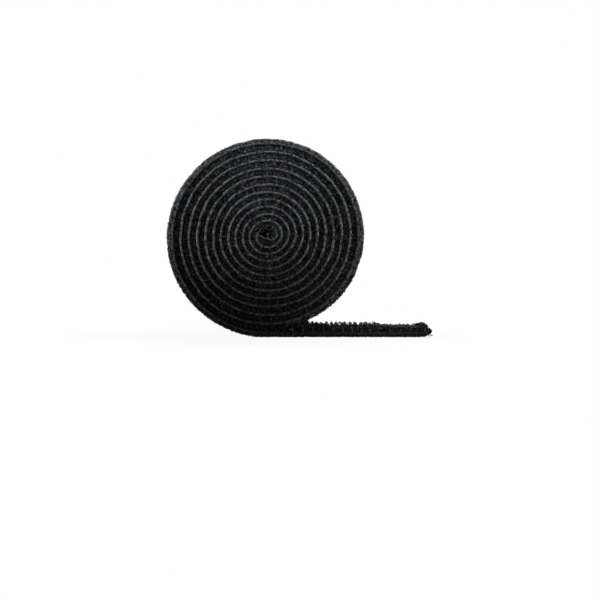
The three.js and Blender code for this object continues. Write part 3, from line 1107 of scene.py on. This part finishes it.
def inner_rims():
    """Light filaments along the band's free edge, round its head and back to the ground"""
    s_band = np.linspace(INNER_START + HEAD_LENGTH, path.at_turn(RIM_TO_TURN), RIM_POINTS)
    round_head = np.linspace(-np.pi / 2, np.pi / 2, RIM_HEAD_POINTS)[::-1][:-1]
    depth = band_depth(path.turn_at(INNER_START))
    middle = -GROUND_FACE / 2 - depth / 2 + RIM_CLEAR
    half = (GROUND_FACE + depth) / 2 + RIM_CLEAR
    s_head = INNER_START + HEAD_LENGTH * (1 - np.cos(round_head))
    s = np.concatenate([s_head, s_band])
    band_face = -GROUND_FACE - band_depth(path.turn_at(s_band))
    height = np.concatenate([middle + half * np.sin(round_head), band_face])
    height = height + uneven(s, 0.0, RIM_LIFT_WAVES)
    y = EDGE - RIM_INSET + uneven(s, 0.0, RIM_SIDE_WAVES)
    swollen = np.exp(-(((path.turn_at(s) - RIM_SWELLING_TURN) / RIM_SWELLING_TURNS) ** 2))
    swollen = swollen + HEAD_SWELLING * (s < INNER_START + HEAD_LENGTH)
    radius = RIM_RADIUS + uneven(s, 0.0, RIM_THICK_WAVES) + RIM_SWELLING * swollen
    pair = np.stack([-y, y])
    strands("inner_end_rims", s[None, :], pair, height[None, :], radius, rim_filament, "roll", 6)


# What fills the bore: places round it and across it, and how it closes towards both edges
TANGLE_TURNS = np.linspace(0.06, 1.0, 28)
TANGLE_ACROSS = np.concatenate([[-8.3, -8.25, -8.0], np.linspace(-7, 7, 9), [8.0, 8.25, 8.3]])
TANGLE_SHARES = np.array([0.05, 0.5, 0.9] + [1.0] * 9 + [0.9, 0.5, 0.05])
TANGLE_WAVES = (0.35, 0.6, 85)
TANGLE_SUNK = 0.25


def bore_tangle():
    """Hooks of the first turn, caught in each other across the middle of the roll"""
    angle = winding_angle(TANGLE_TURNS)
    rim = middle_radius(TANGLE_TURNS) - GROUND_FACE - band_depth(TANGLE_TURNS)
    radius = rim + TANGLE_SUNK
    x, z = radius * np.cos(angle), radius * np.sin(angle)
    middle_x, middle_z = x.mean(), z.mean()
    share = TANGLE_SHARES[:, None]
    points = np.stack([
        middle_x + (x - middle_x) * share,
        np.broadcast_to(TANGLE_ACROSS[:, None], (len(TANGLE_ACROSS), len(x))),
        AXIS_HEIGHT + middle_z + (z - middle_z) * share,
    ], axis=-1)
    points[..., 1] += uneven(points[..., 0], points[..., 2], TANGLE_WAVES)
    quads, tris = ring_faces(*points.shape[:2])
    flat = points.reshape(-1, 3)
    make_piece("bore_tangle", flat, quads[:, ::-1], tris[:, ::-1], flat, bore_nap, "roll")


# Single hooks in the bore. They start a little outside its rim or inside it, and crook inwards
BORE_HOOKS = 130
BORE_HOOK_TURNS = (0.15, 1.0)
BORE_HOOK_DEPTHS = (-0.1, 1.0)
BORE_HOOK_REACHES = (0.3, 0.9)
BORE_HOOK_ARC_SHARE = 0.62
BORE_HOOK_ROUNDING = 0.4
BORE_HOOK_SWING = 0.35
BORE_HOOK_LEAN = 0.3
BORE_HOOKS_ACROSS = (8.4, 9.8)
BORE_HOOK_RADIUS = 0.055


def bore_hooks():
    """Single hooks in the bore, near both edges, in light greys that paint in the light they catch
    """
    chance = Chance(seed=86, count=BORE_HOOKS)
    turn = chance.even(*BORE_HOOK_TURNS)
    rim = middle_radius(turn) - GROUND_FACE - band_depth(turn)
    share = np.linspace(0, 1, 6)
    inside = chance.even(*BORE_HOOK_DEPTHS)
    reach = chance.even(*BORE_HOOK_REACHES)
    arc = np.sin(share * np.pi * BORE_HOOK_ARC_SHARE)
    radius = rim - inside - reach * arc * share**BORE_HOOK_ROUNDING
    swing = winding_angle(turn) + chance.about(0, BORE_HOOK_SWING) * share**2
    side = np.where(np.arange(BORE_HOOKS) % 2 == 0, NEAR, FAR)[:, None]
    y = side * chance.even(*BORE_HOOKS_ACROSS) + chance.about(0, BORE_HOOK_LEAN) * share
    x, z = radius * np.cos(swing), AXIS_HEIGHT + radius * np.sin(swing)
    course = np.stack([x, y, z], axis=-1)
    tubes("bore_hooks", course, BORE_HOOK_RADIUS, 4, bore_filament_painted_light, "roll")


inner_band()
inner_rims()
bore_tangle()
bore_hooks()

# Cut ends of the weft threads, which stick out of both edges, less far at the far one. Drift and
# rise each have a middle and a spread
THREADED = (8, JOIN)
TAIL_THREADED = (JOIN + 2, HOOK_CUT)
THREAD_PITCH = 5.1
THREAD_STRAY = 0.35
THREAD_LENGTHS = (0.8, 1.7)
FAR_THREAD_SHARE = 0.75
THREAD_ROOT = 0.3
THREAD_DRIFT = (0.35, 0.35)
THREAD_RISE = (-0.2, 0.35)
THREAD_BEND = 1.5
THREAD_CURL = 0.12
THREAD_SHORTENING = 0.25
THREAD_RADIUS = 0.06
THREAD_TIP_SHARE = 0.7


def thread_ends(name, ends, side, body, seed):
    s0 = np.arange(*ends, THREAD_PITCH)[:, None]
    chance = Chance(seed, len(s0))
    s0 = s0 + chance.about(0, THREAD_STRAY)
    length = chance.even(*THREAD_LENGTHS) * (1.0 if side == NEAR else FAR_THREAD_SHARE)
    drift = chance.about(*THREAD_DRIFT)
    rise = chance.about(*THREAD_RISE)
    swing = np.linspace(0, 1, 6)
    curl = np.sin(swing * np.pi)
    s = s0 + drift * swing**THREAD_BEND + THREAD_CURL * chance.about(0, 1) * curl
    out = (THREAD_ROOT + length) * swing * (1 - THREAD_SHORTENING * swing)
    height = rise * swing + THREAD_CURL * chance.about(0, 1) * curl
    radius = THREAD_RADIUS * np.linspace(1, THREAD_TIP_SHARE, len(swing))
    y = side * (EDGE - THREAD_ROOT + out)
    strands(name, s, y, height, radius, thread_filament, body, sides=5)


thread_ends("near_thread_ends", THREADED, NEAR, "roll", seed=61)
thread_ends("far_thread_ends", THREADED, FAR, "roll", seed=62)
thread_ends("free_end_near_threads", TAIL_THREADED, NEAR, None, seed=63)
thread_ends("free_end_far_threads", TAIL_THREADED, FAR, None, seed=64)


# What stands for what
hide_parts("wound_loop_tape")
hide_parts("wound_bond_film")
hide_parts("wound_hook_tape")
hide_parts("free_end_loop_tape")
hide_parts("free_end_bond_film")
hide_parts("free_end_hook_tape")


# White surroundings, light and camera, in metres but for the camera's own values
WORLD_STRENGTH = 0.032
FLOOR_REACH = 2.0
FLOOR_DROP = 0.00005
SHADOW_FROM, SHADOW_TO = 0.03, 0.06
SHADOW_SHARE = 0.06


def world_light():
    world = bpy.data.worlds.new("studio")
    bpy.context.scene.world = world
    world.use_nodes = True
    tree = world.node_tree
    tree.nodes.clear()
    look = Look("studio", tree=tree)
    white = {"Color": grey(1.0, 0)}
    lit = look.node("ShaderNodeBackground", None, white | {"Strength": WORLD_STRENGTH})
    shown = look.node("ShaderNodeBackground", None, white | {"Strength": 1.0})
    mixed = look.node("ShaderNodeMixShader", None, {0: look.seen(), 1: lit, 2: shown})
    look.node("ShaderNodeOutputWorld", None, {"Surface": mixed})


def floor_look():
    """White paper: it keeps a faint shadow near the roll and is plain white further out"""
    look = Look("paper")
    seen = look.seen()
    place = look.node("ShaderNodeNewGeometry", None, None, output="Position")
    far = look.node("ShaderNodeVectorMath", {"operation": "LENGTH"}, {0: place}, output="Value")
    clear = far.between(SHADOW_FROM, SHADOW_TO) * SHADOW_SHARE + (1 - SHADOW_SHARE)
    white = look.node("ShaderNodeEmission", None, {"Color": grey(1.0, 0), "Strength": 1.0})
    look.finish(
        Base_Color=look.mixed(seen, grey(0.12, 0), grey(0.8, 0)),
        Roughness=0.9,
        Specular_IOR_Level=0.1,
    )
    paper = Reading(look, look.shader.outputs[0])
    mixed = look.node("ShaderNodeMixShader", None, {0: clear * seen, 1: paper, 2: white})
    look.feed(look.tree.nodes["Material Output"].inputs["Surface"], mixed)
    return look


def add_floor():
    mesh = bpy.data.meshes.new("floor")
    signs = ((-1, -1), (1, -1), (1, 1), (-1, 1))
    corners = [(x * FLOOR_REACH, y * FLOOR_REACH, -FLOOR_DROP) for x, y in signs]
    mesh.from_pydata(corners, [], [(0, 1, 2, 3)])
    mesh.materials.append(floor_look().material)
    floor = bpy.data.objects.new("floor", mesh)
    bpy.context.scene.collection.objects.link(floor)


def lamp(name, place, aim, watts, size, cone=None):
    """A soft lamp, or with a cone in degrees a soft-edged spot, aimed at a place"""
    data = bpy.data.lights.new(name, "SPOT" if cone else "AREA")
    data.energy = watts
    if cone:
        data.spot_size, data.spot_blend = math.radians(cone), 1.0
        data.shadow_soft_size = size
    else:
        data.shape = "RECTANGLE"
        data.size, data.size_y = size
    light = bpy.data.objects.new(name, data)
    light.location = place
    way = Vector(aim) - Vector(place)
    light.rotation_euler = way.to_track_quat("-Z", "Y").to_euler()
    bpy.context.scene.collection.objects.link(light)


world_light()
add_floor()

LOW, MID, HIGH = (0, 0, 0.03), (0, 0, 0.05), (0, 0, 0.07)
TOE = (0.033, 0, 0.003)
lamp("left_spot", (-0.5, -0.1, 0.08), MID, watts=25.0, size=0.02, cone=10.5)
lamp("right_spot", (0.5, -0.1, 0.08), MID, watts=25.0, size=0.02, cone=10.5)
lamp("top_soft_box", (0.0, -0.06, 0.105), LOW, watts=0.012, size=(0.1, 0.04))
lamp("front_spot", (0.0, -0.4, 0.25), HIGH, watts=7.0, size=0.03, cone=12)
lamp("tail_spot", (0.06, -0.4, 0.05), TOE, watts=8.0, size=0.02, cone=5)
lamp("back_soft_box", (0.0, 0.35, 0.12), LOW, watts=0.8, size=(0.3, 0.1))

# Camera: as the photograph's upper view, with distances in millimetres
CAMERA_DISTANCE = 510.0
PX_A_MM = 3.85
IMAGE_PX = 600
ROLL_CENTRE_PX = (267.5, 235.6)
SENSOR = 36.0
NEAREST_SEEN = 10.0


def add_camera():
    near_face = CAMERA_DISTANCE - EDGE
    width = IMAGE_PX / PX_A_MM
    data = bpy.data.cameras.new("camera")
    data.sensor_width = SENSOR
    data.lens = SENSOR * near_face / width
    data.shift_x = (IMAGE_PX / 2 - ROLL_CENTRE_PX[0]) / IMAGE_PX
    data.shift_y = (ROLL_CENTRE_PX[1] - IMAGE_PX / 2) / IMAGE_PX
    data.clip_start = NEAREST_SEEN * MM
    camera = bpy.data.objects.new("camera", data)
    camera.location = (0, -CAMERA_DISTANCE * MM, AXIS_HEIGHT * MM)
    camera.rotation_euler = (math.pi / 2, 0, 0)
    bpy.context.scene.collection.objects.link(camera)
    bpy.context.scene.camera = camera


add_camera()
bpy.context.scene.view_settings.view_transform = "Standard"
